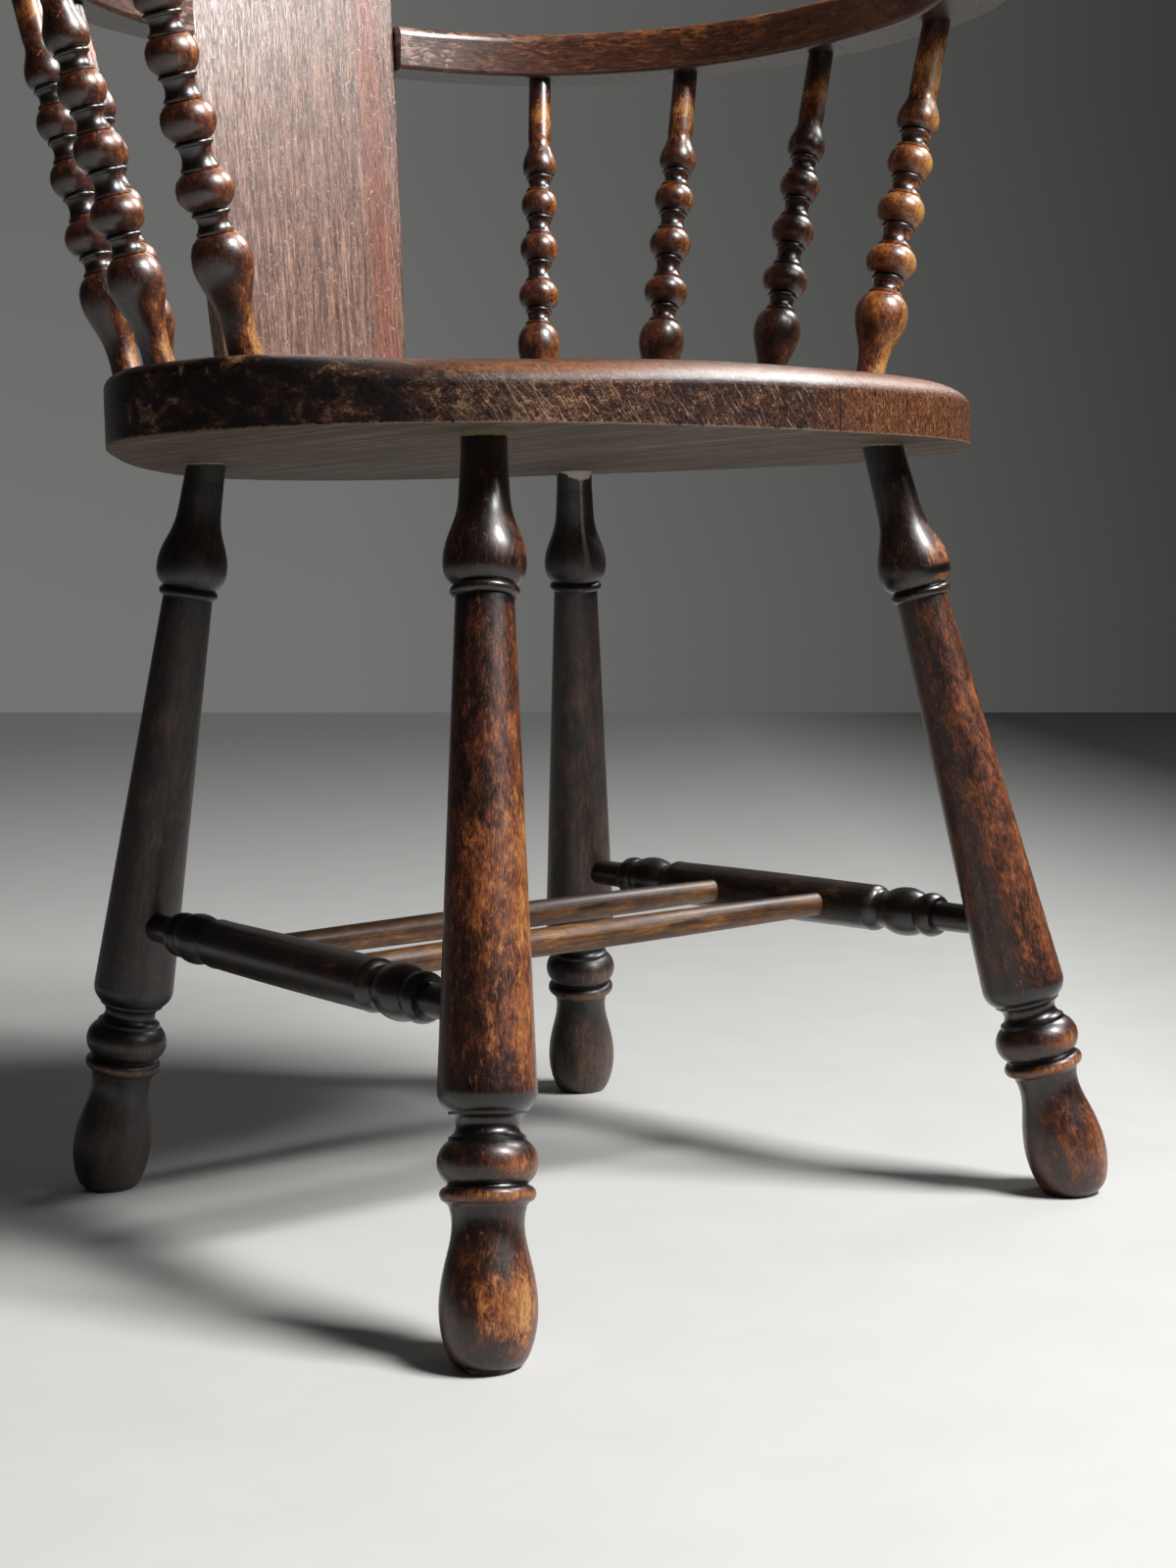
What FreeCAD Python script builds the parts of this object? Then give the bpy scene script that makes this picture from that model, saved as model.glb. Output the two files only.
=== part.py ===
import FreeCAD, Part
import math
import os

Vector = FreeCAD.Vector

# A turned oak armchair. A saddled seat stands on four splayed legs that turned stretchers tie together.
# Eight bobbin spindles carry a bow-shaped arm sawn in two halves, and a plank splat rises through the bow.
# Lengths are millimetres, the front of the chair faces -Y, and x = 0 is its plane of symmetry.

# Seat: the outline runs along the right half from the middle of the front to the middle of the back.
# The finished seat sits a little to the left of its legs, and its front edge is worn hollow on the left.
SEAT_UNDERSIDE = 416.0
SEAT_THICKNESS = 34.0
SEAT_TOP = SEAT_UNDERSIDE + SEAT_THICKNESS
SEAT_OUTLINE = [
    (0, -194.5), (90, -188.5), (156, -172), (206, -138), (236, -103), (256, -62), (261, -20),
    (246, 28), (203, 99), (164, 154), (118, 206), (64, 249), (0, 267),
]
SEAT_OFFSET_X = -3.4
BOARD_JOINT_X = 44.0
FRONT_ROLL = (34.0, 14.0)
SIDE_ROUNDING = (7.0, 6.0)
FRONT_BEGINS_Y = -90.0
FRONT_COMPLETE_Y = -152.0
FRONT_LIFT = 1.0
WORN_HOLLOW_DEPTH = 3.5
WORN_HOLLOW_X = -160.0
WORN_HOLLOW_HALF_WIDTH = 95.0
DISH_DEPTH = 11.0
DISH_FLOOR = (105.0, 85.0)
RIM_SHARE = 0.32
SEAT_COLUMNS = 44
ROLL_STEPS = 4
DISH_STEPS = 6

# Legs: centres on the floor and at the underside of the seat, right side. The front right leg was turned
# with its collar lower than the others.
REAR_LEG = ((180.8, 193.9), (133.7, 129.7))
FRONT_LEG = ((206.1, -207.2), (136.9, -131.4))
COLLAR_DROPS = {"leg_front_right": 6.0}
LEG_TENON = 20.0

# Stretchers: heights where the side stretchers enter the legs, places of the cross stretchers along them
STRETCHER_HEIGHT_REAR = 155.0
STRETCHER_HEIGHT_FRONT = 150.5
STRETCHER_GAP_TO_LEG_AXIS = 4.0
STRETCHER_END_RADIUS = 7.7
CROSS_STRETCHERS = {"rear": (125.0, 136.0), "front": (208.0, 221.5)}
CROSS_END_RADIUS = 6.6
CROSS_MIDDLE_RADIUS = 7.8
CROSS_GAP_TO_STRETCHER_AXIS = 2.0

# Arm bow: the right half, from the middle of the back round the outside and back along the inside
ARM_UNDERSIDE = 677.0
ARM_THICKNESS = 28.0
ARM_TOP = ARM_UNDERSIDE + ARM_THICKNESS
ARM_OUTLINE = [
    (0, 258), (95, 249), (195, 206), (262, 122), (293, 14), (291, -60), (275, -108), (250, -129),
    (230, -116), (240, -82), (256, -27), (254, 30), (234, 104), (197, 158), (158, 193), (85, 222), (0, 231),
]
ARM_TOP_ROUNDING = 6.0
ARM_BOTTOM_ROUNDING = 3.0
LAP_HALF_LENGTH = 55.0

# Spindles, from the back to the front: foot on the seat and head at the arm, both measured out from the
# middle of the chair, and girth against the plain pattern. They were set by eye, so the two sides differ.
SPINDLES = {
    "left": [
        ((133.7, 165.0), (169.8, 199.3), 0.92),
        ((195.5, 97.8), (231.1, 139.6), 0.96),
        ((209.2, 39.1), (268.0, 48.0), 0.97),
        ((207.6, -39.5), (274.2, -55.4), 0.99),
    ],
    "right": [
        ((133.7, 165.0), (169.8, 199.3), 0.92),
        ((191.2, 116.6), (236.7, 129.9), 1.0),
        ((210.9, 35.4), (271.9, 40.7), 1.0),
        ((213.0, -48.6), (272.6, -55.1), 1.07),
    ],
}
SPINDLE_FOOT_TENON = 17.0
SPINDLE_HEAD_TENON = 16.0
SPINDLE_FOOT_RADIUS = 8.4
SPINDLE_HEAD_RADIUS = 7.6
# Stations up the spindle with radii and, for a bead, its height
SPINDLE_VASE = [
    (12, 8.2), (22, 8.1), (29, 9.0), (35.5, 10.9), (42, 13.1), (47.5, 14.5), (52.5, 14.8), (60, 12.9), (64, 9.2),
]
SPINDLE_BEADS = [(84.5, 14.2, 17.6), (116.4, 13.5, 17.2), (146.3, 12.8, 16.0)]
SPINDLE_TOP_BEAD = [(168.5, 11.2), (172.5, 12.0), (177.5, 11.2), (183.5, 8.9), (191.5, 8.2)]
SPINDLE_TOP_BEAD_START = 166.0
BEAD_END_RADIUS = 9.2
GROOVE_RADIUS = 8.2
GROOVE_WIDTH = 0.5
FILLET = (1.1, 9.3)
NECK_RADIUS = 7.5
RING = (2.7, 9.4)

# Splat: half widths at distances along the plank from the top of the seat
SPLAT_FRONT_AT_SEAT_Y = 213.0
SPLAT_THICKNESS = 15.5
SPLAT_RECLINE = 4.2
SPLAT_TENON = 20.0
SPLAT_SIDE = [(-SPLAT_TENON, 63.6), (110, 70.6), (228, 75.4), (384, 78.4)]
SPLAT_SHOULDER = [(406.5, 71.8), (422, 54.0)]
SPLAT_HEIGHT = 434.0
SPLAT_EDGE_ROUNDING = 2.0
HOUSING_RELIEF = 25.0

# Screws through the back of the bow into the splat
SCREW_X = 38.0
SCREW_HEAD_Y = 254.5
SCREW_HEAD_RADIUS = 4.2
SCREW_HEAD_DEPTH = 3.0
SCREW_HEAD_LAND = 0.6
SCREW_SHANK_RADIUS = 2.0
SCREW_LENGTH = 22.0
SCREW_POINT = (4.0, 0.4)
SCREW_SLOT = (1.0, 1.0)

REACH = 2000.0


def smooth_step(value, low, high):
    """Return 0 at low and 1 at high, with a smooth ramp between them."""
    share = min(max((value - low) / (high - low), 0.0), 1.0)
    return share * share * (3.0 - 2.0 * share)


def mirrored_outline(half):
    """Complete a half outline that starts and ends on the plane of symmetry."""
    right = [Vector(x, y, 0) for x, y in half]
    left = [Vector(-point.x, point.y, 0) for point in reversed(right[1:-1])]
    return right + left


def closed_curve(points):
    """Return a smooth closed curve through the points."""
    curve = Part.BSplineCurve()
    curve.interpolate(Points=points, PeriodicFlag=True)
    return curve


def block(low, high):
    """Return a box between two opposite corners."""
    return Part.makeBox(high[0] - low[0], high[1] - low[1], high[2] - low[2], Vector(*low))


def turned(start, stretches, foot, head):
    """Turn a profile about the axis from foot to head.

    The profile is given as stations along the axis and radii there. A stretch of one point is a straight
    run, one of two points an arc through the first to the second, and a longer one a smooth curve.
    """
    place = [Vector(start[1], 0, start[0])]
    edges = []
    for stretch in stretches:
        points = [place[-1]] + [Vector(radius, 0, station) for station, radius in stretch]
        if len(stretch) == 1:
            edges.append(Part.LineSegment(*points).toShape())
        elif len(stretch) == 2:
            edges.append(Part.Arc(*points).toShape())
        else:
            curve = Part.BSplineCurve()
            curve.interpolate(Points=points)
            edges.append(curve.toShape())
        place.append(points[-1])
    ends = [place[-1], Vector(0, 0, place[-1].z), Vector(0, 0, place[0].z), place[0]]
    for begin, end in zip(ends, ends[1:]):
        edges.append(Part.LineSegment(begin, end).toShape())
    solid = Part.Face(Part.Wire(edges)).revolve(Vector(0, 0, 0), Vector(0, 0, 1), 360)
    solid.Placement = FreeCAD.Placement(foot, FreeCAD.Rotation(Vector(0, 0, 1), head - foot))
    return solid


def leg_ends(leg, side):
    """Return the centres of a leg on the floor and at the underside of the seat."""
    floor, top = leg
    return Vector(side * floor[0], floor[1], 0), Vector(side * top[0], top[1], SEAT_UNDERSIDE)


def make_leg(leg, side, collar_drop):
    """A leg with a ball foot, two rings, a tapered shaft and a vase at the top, cut level on the floor."""
    foot, top = leg_ends(leg, side)
    length = (top - foot).Length
    collar = 347.6 - collar_drop
    stretches = [
        [(0, 11.7)],
        [(0, 13.6)],
        [(2, 15.9), (9, 19.5), (26, 22.1), (44, 19.7), (60, 16.4), (70, 17.6)],
        [(71.4, 18.7)],
        [(75.2, 21.7), (78.8, 18.6)],
        [(79.8, 18.2)],
        [(89.2, 22.9), (98.6, 17.9)],
        [(100.5, 17.5)],
        [(105.5, 14.3), (110.2, 17.6)],
        [(111.6, 17.9)],
        [(114.6, 20.8), (122, 22.6)],
        [(collar, 13.9)],
        [(collar + 0.2, 14.8)],
        [(collar + 2.8, 16.5), (collar + 5.4, 14.9)],
        [(collar + 5.8, 14.7)],
        [(collar + 9.4, 18.1), (collar + 17.8, 19.75), (collar + 27.9, 17.8), (collar + 40.4, 13.4),
         (collar + 53.4, 11.9), (414, 11.2)],
        [(length + LEG_TENON, 11)],
    ]
    below = block((-REACH, -REACH, -REACH), (REACH, REACH, 0))
    return turned((-6, 11.7), stretches, foot, top).cut(below)


def point_on_leg(leg, side, height):
    """Return the point of a leg's axis at a height."""
    foot, top = leg_ends(leg, side)
    return foot + (top - foot) * (height / SEAT_UNDERSIDE)


def stretcher_ends(side):
    """Return where a side stretcher's axis meets the axes of the rear and front legs."""
    rear = point_on_leg(REAR_LEG, side, STRETCHER_HEIGHT_REAR)
    front = point_on_leg(FRONT_LEG, side, STRETCHER_HEIGHT_FRONT)
    return rear, front


def make_side_stretcher(side):
    """A stretcher with a plain barrel between two pairs of a bead and a ring."""
    rear, front = stretcher_ends(side)
    length = (front - rear).Length
    half = [
        [(46.5, 8.3)],
        [(47.2, 10.6)],
        [(52.5, 12.6), (57.8, 10.9)],
        [(58.8, 10.7)],
        [(71, 14.1), (83.2, 10.6)],
        [(86.2, 9.7), (89.2, 10.8)],
        [(91.4, 12.7), (96.5, 13.3)],
    ]
    start = (STRETCHER_GAP_TO_LEG_AXIS, STRETCHER_END_RADIUS)
    barrel = [(length / 2, 13.7), (length - half[-1][-1][0], half[-1][-1][1])]
    ends = [start] + [stretch[-1] for stretch in half]
    back = []
    for index in range(len(half) - 1, -1, -1):
        points = half[index][:-1] + [ends[index]]
        back.append([(length - station, radius) for station, radius in points])
    return turned(start, half + [barrel] + back, rear, front)


def make_cross_stretcher(name):
    """A plain rod, thickest at its middle, between the two side stretchers."""
    left_along, right_along = CROSS_STRETCHERS[name]
    ends = []
    for side, along in ((-1, left_along), (1, right_along)):
        rear, front = stretcher_ends(side)
        ends.append(rear + (front - rear).normalize() * along)
    length = (ends[1] - ends[0]).Length
    first = CROSS_GAP_TO_STRETCHER_AXIS
    barrel = [(length / 2, CROSS_MIDDLE_RADIUS), (length - first, CROSS_END_RADIUS)]
    return turned((first, CROSS_END_RADIUS), [barrel], ends[0], ends[1])


def bobbin_neck(low, high):
    """The neck between two beads: a groove, a thin fillet, a cove, a round ring and a groove."""
    fillet_height, fillet_radius = FILLET
    ring_height, ring_radius = RING
    groove_end = low + GROOVE_WIDTH
    fillet_end = groove_end + fillet_height
    ring_end = high - GROOVE_WIDTH
    ring_start = ring_end - ring_height
    return [
        [(low + GROOVE_WIDTH / 2, GROOVE_RADIUS)],
        [(groove_end, fillet_radius)],
        [(fillet_end, fillet_radius)],
        [((fillet_end + ring_start) / 2, NECK_RADIUS), (ring_start, GROOVE_RADIUS)],
        [((ring_start + ring_end) / 2, ring_radius), (ring_end, GROOVE_RADIUS)],
        [(high, BEAD_END_RADIUS)],
    ]


def make_spindle(spindle, side):
    """A bobbin spindle: a vase, three beads and a half bead, parted by necks, under a plain shaft."""
    foot, head, girth = spindle
    base = Vector(side * foot[0], foot[1], SEAT_TOP)
    tip = Vector(side * head[0], head[1], ARM_UNDERSIDE)
    length = (tip - base).Length
    stretches = [SPINDLE_VASE]
    last = SPINDLE_VASE[-1][0]
    for station, radius, height in SPINDLE_BEADS:
        stretches += bobbin_neck(last, station - height / 2)
        last = station + height / 2
        stretches.append([(station, radius), (last, BEAD_END_RADIUS)])
    stretches += bobbin_neck(last, SPINDLE_TOP_BEAD_START)
    stretches += [SPINDLE_TOP_BEAD, [(length + SPINDLE_HEAD_TENON, SPINDLE_HEAD_RADIUS)]]
    thick = []
    for stretch in stretches:
        thick.append([(station, radius * girth) for station, radius in stretch])
    return turned((-SPINDLE_FOOT_TENON, SPINDLE_FOOT_RADIUS * girth), thick, base, tip)


def band_through(rings):
    """Return a smooth closed band through rings that have as many points each."""
    stations = [float(number) for number in range(len(rings))]
    bearings = [float(number) for number in range(len(rings[0]) + 1)]
    lines = []
    for points in zip(*rings):
        line = Part.BSplineCurve()
        line.interpolate(Points=list(points), Parameters=stations)
        lines.append(line)
    loops = []
    for poles in zip(*[line.getPoles() for line in lines]):
        loop = Part.BSplineCurve()
        loop.interpolate(Points=list(poles), PeriodicFlag=True, Parameters=bearings)
        loops.append(loop)
    band = Part.BSplineSurface()
    band.buildFromPolesMultsKnots(
        [loop.getPoles() for loop in loops],
        lines[0].getMultiplicities(), loops[0].getMultiplicities(),
        lines[0].getKnots(), loops[0].getKnots(),
        False, True, lines[0].Degree, loops[0].Degree,
    )
    return band


def make_seat():
    """The whole seat before its joint is sawn: straight sides, a rolled front edge and a saddled top."""
    outline = closed_curve(mirrored_outline(SEAT_OUTLINE))
    roll = [[] for _ in range(ROLL_STEPS + 1)]
    dish = [[] for _ in range(DISH_STEPS + 1)]
    first, last = outline.FirstParameter, outline.LastParameter
    for column in range(SEAT_COLUMNS):
        parameter = first + (last - first) * column / SEAT_COLUMNS
        edge = outline.value(parameter)
        tangent = outline.tangent(parameter)[0]
        inward = Vector(-tangent.y, tangent.x, 0)
        front = smooth_step(-edge.y, -FRONT_BEGINS_Y, -FRONT_COMPLETE_Y)
        reach = SIDE_ROUNDING[0] + front * (FRONT_ROLL[0] - SIDE_ROUNDING[0])
        fall = SIDE_ROUNDING[1] + front * (FRONT_ROLL[1] - SIDE_ROUNDING[1])
        worn = WORN_HOLLOW_DEPTH * math.exp(-(((edge.x - WORN_HOLLOW_X) / WORN_HOLLOW_HALF_WIDTH) ** 2))
        crest = SEAT_TOP + front * (FRONT_LIFT - worn)
        for step, ring in enumerate(roll):
            angle = math.pi / 2 * step / ROLL_STEPS
            point = edge + inward * (reach * (1.0 - math.cos(angle)))
            ring.append(Vector(point.x, point.y, crest - fall * (1.0 - math.sin(angle))))
        rim = roll[-1][-1]
        bearing = math.atan2(rim.y, rim.x)
        across, along = math.cos(bearing) / DISH_FLOOR[0], math.sin(bearing) / DISH_FLOOR[1]
        floor_radius = 1.0 / math.hypot(across, along)
        floor = Vector(floor_radius * math.cos(bearing), floor_radius * math.sin(bearing), 0)
        flat_share = RIM_SHARE * (1.0 - front)
        for step, ring in enumerate(dish):
            share = step / DISH_STEPS
            sink = smooth_step(share, flat_share, 1.0)
            x = rim.x + (floor.x - rim.x) * share
            y = rim.y + (floor.y - rim.y) * share
            ring.append(Vector(x, y, crest + (SEAT_TOP - DISH_DEPTH - crest) * sink))
    edge_band = band_through(roll)
    dish_band = band_through(dish)
    outer = edge_band.uIso(edge_band.bounds()[0])
    inner = dish_band.uIso(dish_band.bounds()[1])
    base = outer.copy()
    for number, pole in enumerate(outer.getPoles(), start=1):
        base.setPole(number, Vector(pole.x, pole.y, SEAT_UNDERSIDE))
    faces = [
        Part.Face(Part.Wire(base.toShape())),
        Part.makeRuledSurface(base.toShape(), outer.toShape()),
        edge_band.toShape(),
        dish_band.toShape(),
        Part.Face(Part.Wire(inner.toShape())),
    ]
    shell = Part.makeShell(faces)
    shell.sewShape()
    seat = Part.makeSolid(shell)
    seat.translate(Vector(SEAT_OFFSET_X, 0, 0))
    return seat


def make_bow():
    """The whole arm bow before it is parted into its halves."""
    outline = Part.Wire(closed_curve(mirrored_outline(ARM_OUTLINE)).toShape())
    outline.translate(Vector(0, 0, ARM_UNDERSIDE))
    bow = Part.Face(outline).extrude(Vector(0, 0, ARM_THICKNESS))
    for height, rounding in ((ARM_TOP, ARM_TOP_ROUNDING), (ARM_UNDERSIDE, ARM_BOTTOM_ROUNDING)):
        level = []
        for edge in bow.Edges:
            if abs(edge.BoundBox.ZMin - height) < 0.01 and edge.BoundBox.ZLength < 0.01:
                level.append(edge)
        bow = bow.makeFillet(rounding, level)
    return bow


def make_splat(relief=0.0):
    """The plank splat, housed in the seat below and leaning back, with its front face moved forward by relief."""
    edges = []
    for mirror in (1, -1):
        side = [Vector(mirror * half_width, 0, along) for along, half_width in SPLAT_SIDE]
        shoulder = [Vector(mirror * half_width, 0, along) for along, half_width in SPLAT_SHOULDER]
        flank = Part.BSplineCurve()
        flank.interpolate(Points=side)
        edges += [flank.toShape(), Part.Arc(side[-1], *shoulder).toShape()]
    foot_half_width = SPLAT_SIDE[0][1]
    base = Vector(foot_half_width, 0, -SPLAT_TENON)
    edges.append(Part.LineSegment(Vector(-foot_half_width, 0, -SPLAT_TENON), base).toShape())
    left_shoulder = shoulder[-1]
    right_shoulder = Vector(-left_shoulder.x, 0, left_shoulder.z)
    edges.append(Part.Arc(right_shoulder, Vector(0, 0, SPLAT_HEIGHT), left_shoulder).toShape())
    wire = Part.Wire(Part.__sortEdges__(edges))
    wire.translate(Vector(0, -relief, 0))
    splat = Part.Face(wire).extrude(Vector(0, SPLAT_THICKNESS + relief, 0))
    rounded = [edge for edge in splat.Edges if edge.BoundBox.YLength < 0.01 and edge.BoundBox.ZLength > 1]
    splat = splat.makeFillet(SPLAT_EDGE_ROUNDING, rounded)
    splat.rotate(Vector(0, 0, 0), Vector(1, 0, 0), -SPLAT_RECLINE)
    splat.translate(Vector(0, SPLAT_FRONT_AT_SEAT_Y, SEAT_TOP))
    return splat


def make_screws():
    """Four countersunk screws, driven forwards through the lap of the bow into the splat."""
    screws = []
    slot_width, slot_depth = SCREW_SLOT
    point_length, point_radius = SCREW_POINT
    for x in (-SCREW_X, SCREW_X):
        for height in (ARM_UNDERSIDE + ARM_THICKNESS / 4, ARM_TOP - ARM_THICKNESS / 4):
            head = Vector(x, SCREW_HEAD_Y, height)
            stretches = [
                [(0, SCREW_HEAD_RADIUS)],
                [(SCREW_HEAD_DEPTH, SCREW_SHANK_RADIUS)],
                [(SCREW_LENGTH - point_length, SCREW_SHANK_RADIUS)],
                [(SCREW_LENGTH, point_radius)],
            ]
            screw = turned((-SCREW_HEAD_LAND, SCREW_HEAD_RADIUS), stretches, head, head - Vector(0, 1, 0))
            face = head.y + SCREW_HEAD_LAND
            slot = block((x - SCREW_HEAD_RADIUS, face - slot_depth, height - slot_width / 2),
                         (x + SCREW_HEAD_RADIUS, face, height + slot_width / 2))
            screws.append(screw.cut(slot))
    return screws


def without(solid, tenons):
    """Cut the mortises or holes that other pieces need."""
    for tenon in tenons:
        solid = solid.cut(tenon)
    return solid


sides = {"left": -1, "right": 1}
legs = {}
side_stretchers = {}
spindles = {}
for side_name, side in sides.items():
    for place, leg in (("rear", REAR_LEG), ("front", FRONT_LEG)):
        name = "leg_%s_%s" % (place, side_name)
        legs[name] = make_leg(leg, side, COLLAR_DROPS.get(name, 0.0))
    side_stretchers["side_stretcher_" + side_name] = make_side_stretcher(side)
    for number, spindle in enumerate(SPINDLES[side_name], start=1):
        spindles["arm_spindle_%s_%d" % (side_name, number)] = make_spindle(spindle, side)
cross_stretchers = {"cross_stretcher_" + name: make_cross_stretcher(name) for name in CROSS_STRETCHERS}
splat = make_splat()
screws = make_screws()

parts = {}
for name, leg in legs.items():
    parts[name] = without(leg, side_stretchers.values())
for name, stretcher in side_stretchers.items():
    parts[name] = without(stretcher, cross_stretchers.values())
parts.update(cross_stretchers)
parts.update(spindles)

seat = without(make_seat(), list(legs.values()) + list(spindles.values()) + [splat])
right_of_joint = block((BOARD_JOINT_X, -REACH, -REACH), (REACH, REACH, REACH))
parts["seat_board_left"] = seat.cut(right_of_joint)
parts["seat_board_right"] = seat.common(right_of_joint)

bow = without(make_bow(), list(spindles.values()) + [make_splat(HOUSING_RELIEF)])
lap_height = ARM_UNDERSIDE + ARM_THICKNESS / 2
right_half = block((LAP_HALF_LENGTH, -REACH, -REACH), (REACH, REACH, REACH))
right_lap = block((-LAP_HALF_LENGTH, 0, lap_height), (LAP_HALF_LENGTH, REACH, REACH))
right_region = right_half.fuse(right_lap)
parts["arm_left"] = without(bow.cut(right_region), screws)
parts["arm_right"] = without(bow.common(right_region), screws)
parts["back_splat"] = without(splat, screws)
parts["splat_screws"] = Part.makeCompound(screws)

# The origin is on the floor, midway between the front feet and the back edge of the seat
front_limit = min(point.y for point in parts["leg_front_left"].tessellate(0.05)[0])
back_limit = max(point.y for point in parts["seat_board_left"].tessellate(0.05)[0])
to_origin = Vector(0, -(front_limit + back_limit) / 2, 0)
os.makedirs("parts", exist_ok=True)
for name, shape in parts.items():
    shape.translate(to_origin)
    shape.exportStep("parts/%s.step" % name)
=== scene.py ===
from functools import partial
from math import radians

import bpy
from mathutils import Euler, Matrix, Vector

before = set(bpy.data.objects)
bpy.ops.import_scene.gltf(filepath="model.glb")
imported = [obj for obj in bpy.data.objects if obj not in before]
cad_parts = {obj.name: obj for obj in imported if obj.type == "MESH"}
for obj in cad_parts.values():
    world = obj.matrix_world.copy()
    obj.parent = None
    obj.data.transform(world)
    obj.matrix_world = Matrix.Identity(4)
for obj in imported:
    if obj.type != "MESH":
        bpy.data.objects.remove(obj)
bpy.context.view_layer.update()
bpy.ops.object.select_all(action="DESELECT")

# Seat: two thick oak boards, edge-glued, sawn to a horseshoe outline, saddled by hand and rolled over at
# the front. Dark stain and polish are worn off the rim, the front edge is scratched, and the underside was
# never finished.
MM = 0.001
SEAT_UNDERSIDE = 416 * MM
BOARD_JOINT_X = 40.6 * MM
JOINT_CRACK_WIDTH = 1.4 * MM
# Where one look of the edge gives way to the next, along X from the middle of the chair.
LEFT_BLACK_TO = -210 * MM
FRONT_RED_FROM = -120 * MM
FRONT_RED_TO = 10 * MM
RIGHT_ORANGE_FROM = 75 * MM
TAN_FLECKS_TO = -130 * MM
NO_TAN_FROM = -60 * MM
MATTE_TO = -130 * MM
GLOSS_FROM = 0.0
GLOSS_TO = 20 * MM
DULL_FROM = 60 * MM
# Chips along the lower edge: a noise lowers each point by up to the bite, and below these heights it shows
# as chipped.
CHIP_BITE = 5 * MM
CHIPS_BELOW = SEAT_UNDERSIDE - 1.4 * MM
ALL_CHIPPED_BELOW = SEAT_UNDERSIDE - 2.2 * MM
LEFT_TONES = [(0.68, "#0a0504"), (0.77, "#1e100b"), (0.84, "#3f271b"), (0.93, "#7a5f45")]
FRONT_TONES = [(0.62, "#0f0604"), (0.71, "#33180f"), (0.79, "#553221"), (0.88, "#8c6b4b"),
               (0.96, "#a98a68")]
RIGHT_TONES = [(0.37, "#1c0c07"), (0.48, "#4c2816"), (0.57, "#76472a"), (0.68, "#aa7a52")]
RIM_TONES = [(0.3, "#432212"), (0.5, "#7a4824"), (0.7, "#a87041")]
TOP_TONES = [(0.3, "#33190e"), (0.5, "#4d2a17"), (0.7, "#6b4023")]
BARE_TONES = [(0.34, "#31271f"), (0.5, "#4d3f34"), (0.66, "#6f5d4f")]


def linear(code):
    """Turns an sRGB hex colour, or a plain grey level, into the linear colour that a node takes."""
    if isinstance(code, (int, float)):
        return (code, code, code, 1.0)
    parts = [int(code[start:start + 2], 16) / 255 for start in (1, 3, 5)]
    return [part / 12.92 if part <= 0.04045 else ((part + 0.055) / 1.055) ** 2.4 for part in parts] + [1.0]


def add_node(tree, kind, inputs=None, stops=(), **settings):
    """Adds one shader node with its settings, ramp stops and inputs, and gives its output.

    An input goes by its name or number, and gets a value, an sRGB colour or a link.
    """
    node = tree.nodes.new("ShaderNode" + kind)
    for setting, value in settings.items():
        setattr(node, setting, value)
    if stops:
        ramp = node.color_ramp.elements
        ramp.remove(ramp[1])
        ramp[0].position = stops[0][0]
        ramp[0].color = linear(stops[0][1])
        for position, colour in stops[1:]:
            ramp.new(position).color = linear(colour)
    for name, value in (inputs or {}).items():
        socket = node.inputs[name] if isinstance(name, int) else next(
            entry for entry in node.inputs if entry.name == name and entry.enabled)
        if isinstance(value, bpy.types.NodeSocket):
            tree.links.new(value, socket)
        else:
            socket.default_value = linear(value) if isinstance(value, str) else value
    return next(entry for entry in node.outputs if entry.enabled)


def blank_finish(name):
    """Starts a material and gives it, its shader and the function that adds nodes to it."""
    material = bpy.data.materials.new(name)
    material.use_nodes = True
    tree = material.node_tree
    return material, tree.nodes["Principled BSDF"], partial(add_node, tree)


def grain_layers(node, place, layers):
    """The layers of a wood's surface, each a noise stretched to its real size.

    A layer has a name, its size along X, Y and Z in millimetres, its detail, its roughness and its twist.
    """
    texture = {}
    for layer, size_mm, detail, rough, twist in layers:
        per_metre = [1 / (size * MM) for size in size_mm]
        stretched = node("VectorMath", {0: place, 1: per_metre}, operation="MULTIPLY")
        texture[layer] = node("TexNoise", {"Vector": stretched, "Scale": 1.0, "Detail": detail,
                                           "Roughness": rough, "Distortion": twist})
    return texture


def connect(shader, **sources):
    """Links what a finish's nodes give to its shader's inputs, named in lower case with underscores."""
    for name, source in sources.items():
        shader.id_data.links.new(source, shader.inputs[name.replace("_", " ").title()])


def dress(node_name, material):
    """Gives a CAD node its finish."""
    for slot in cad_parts[node_name].material_slots:
        slot.material = material


# Stained oak board: black patches on the left, red-brown cut by pale slanting scratches along the front,
# rippled orange at the right, an orange rim, a broken gloss on the roll, a chipped lower edge, and soft
# grey-brown bare wood underneath.
seat_oak, shader, node = blank_finish("worn_stained_oak_board")
shader.inputs["Specular IOR Level"].default_value = 0.25
shader.inputs["Coat IOR"].default_value = 1.9
shader.inputs["Coat Roughness"].default_value = 0.38
place = node("TexCoord").node.outputs
axes = node("SeparateXYZ", {0: place["Object"]}).node.outputs
upward = node("SeparateXYZ", {0: place["Normal"]}).node.outputs["Z"]
texture = grain_layers(node, place["Object"], (
    ("grain", (1.6, 40, 1.6), 4, 0.6, 0.0),
    ("patch", (15, 15, 11), 5, 0.65, 0.8),
    ("fleck", (2.4, 2.4, 1.8), 5, 0.76, 1.2),
    ("ripple", (1.2, 1.2, 5), 4, 0.62, 2.2),
    ("pore", (0.7, 11, 0.7), 2, 0.6, 0.0),
    ("streak", (9, 170, 9), 5, 0.55, 0.4)))
to_the_front = node("MapRange", {"Value": axes["X"], "From Min": LEFT_BLACK_TO,
                                 "From Max": FRONT_RED_FROM}, interpolation_type="SMOOTHSTEP")
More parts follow.
